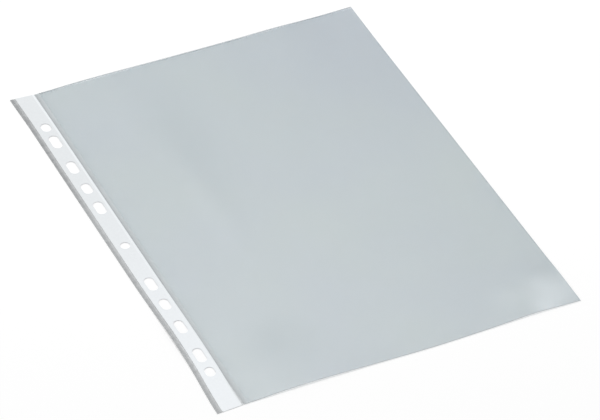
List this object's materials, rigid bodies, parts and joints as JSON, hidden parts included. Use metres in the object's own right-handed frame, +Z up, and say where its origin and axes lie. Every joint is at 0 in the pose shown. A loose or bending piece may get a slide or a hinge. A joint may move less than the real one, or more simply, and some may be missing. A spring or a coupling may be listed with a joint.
{
  "type": "sheet protector",
  "caption": "Clear film pocket for an A4 page, open at the top, with a white reinforced edge punched with round and slotted holes for ring binders.",
  "frame": {"origin": "middle of the outline, on the surface that the sheet lies on", "axes": "+X from the punched binding edge to the folded side, +Y along the binding edge to the open mouth, +Z up off the surface"},
  "size_m": [0.23, 0.305, 0.0004],
  "materials": {
    "film": "satin",
    "weld": "satin",
    "tape": "satin"
  },
  "bodies": {
    "binding_edge": {"margin_film": "film", "reinforcing_tape": "tape"},
    "pocket": {"spine_weld": "weld", "back_film": "film", "bottom_weld": "weld", "side_fold": "weld"},
    "front": {"front_film": "film"}
  },
  "joints": [
    {"name": "page_turn", "type": "hinge", "parent": "binding_edge", "child": "pocket", "pos_m": [-0.0984, 0, 0.0002], "axis": [0, -1, 0], "range_deg": [0, 165]},
    {"name": "mouth_open", "type": "hinge", "parent": "pocket", "child": "front", "pos_m": [0.00745, -0.1523, 0.0002], "axis": [1, 0, 0], "range_deg": [0, 4], "deforming": ["front_film"]}
  ]
}
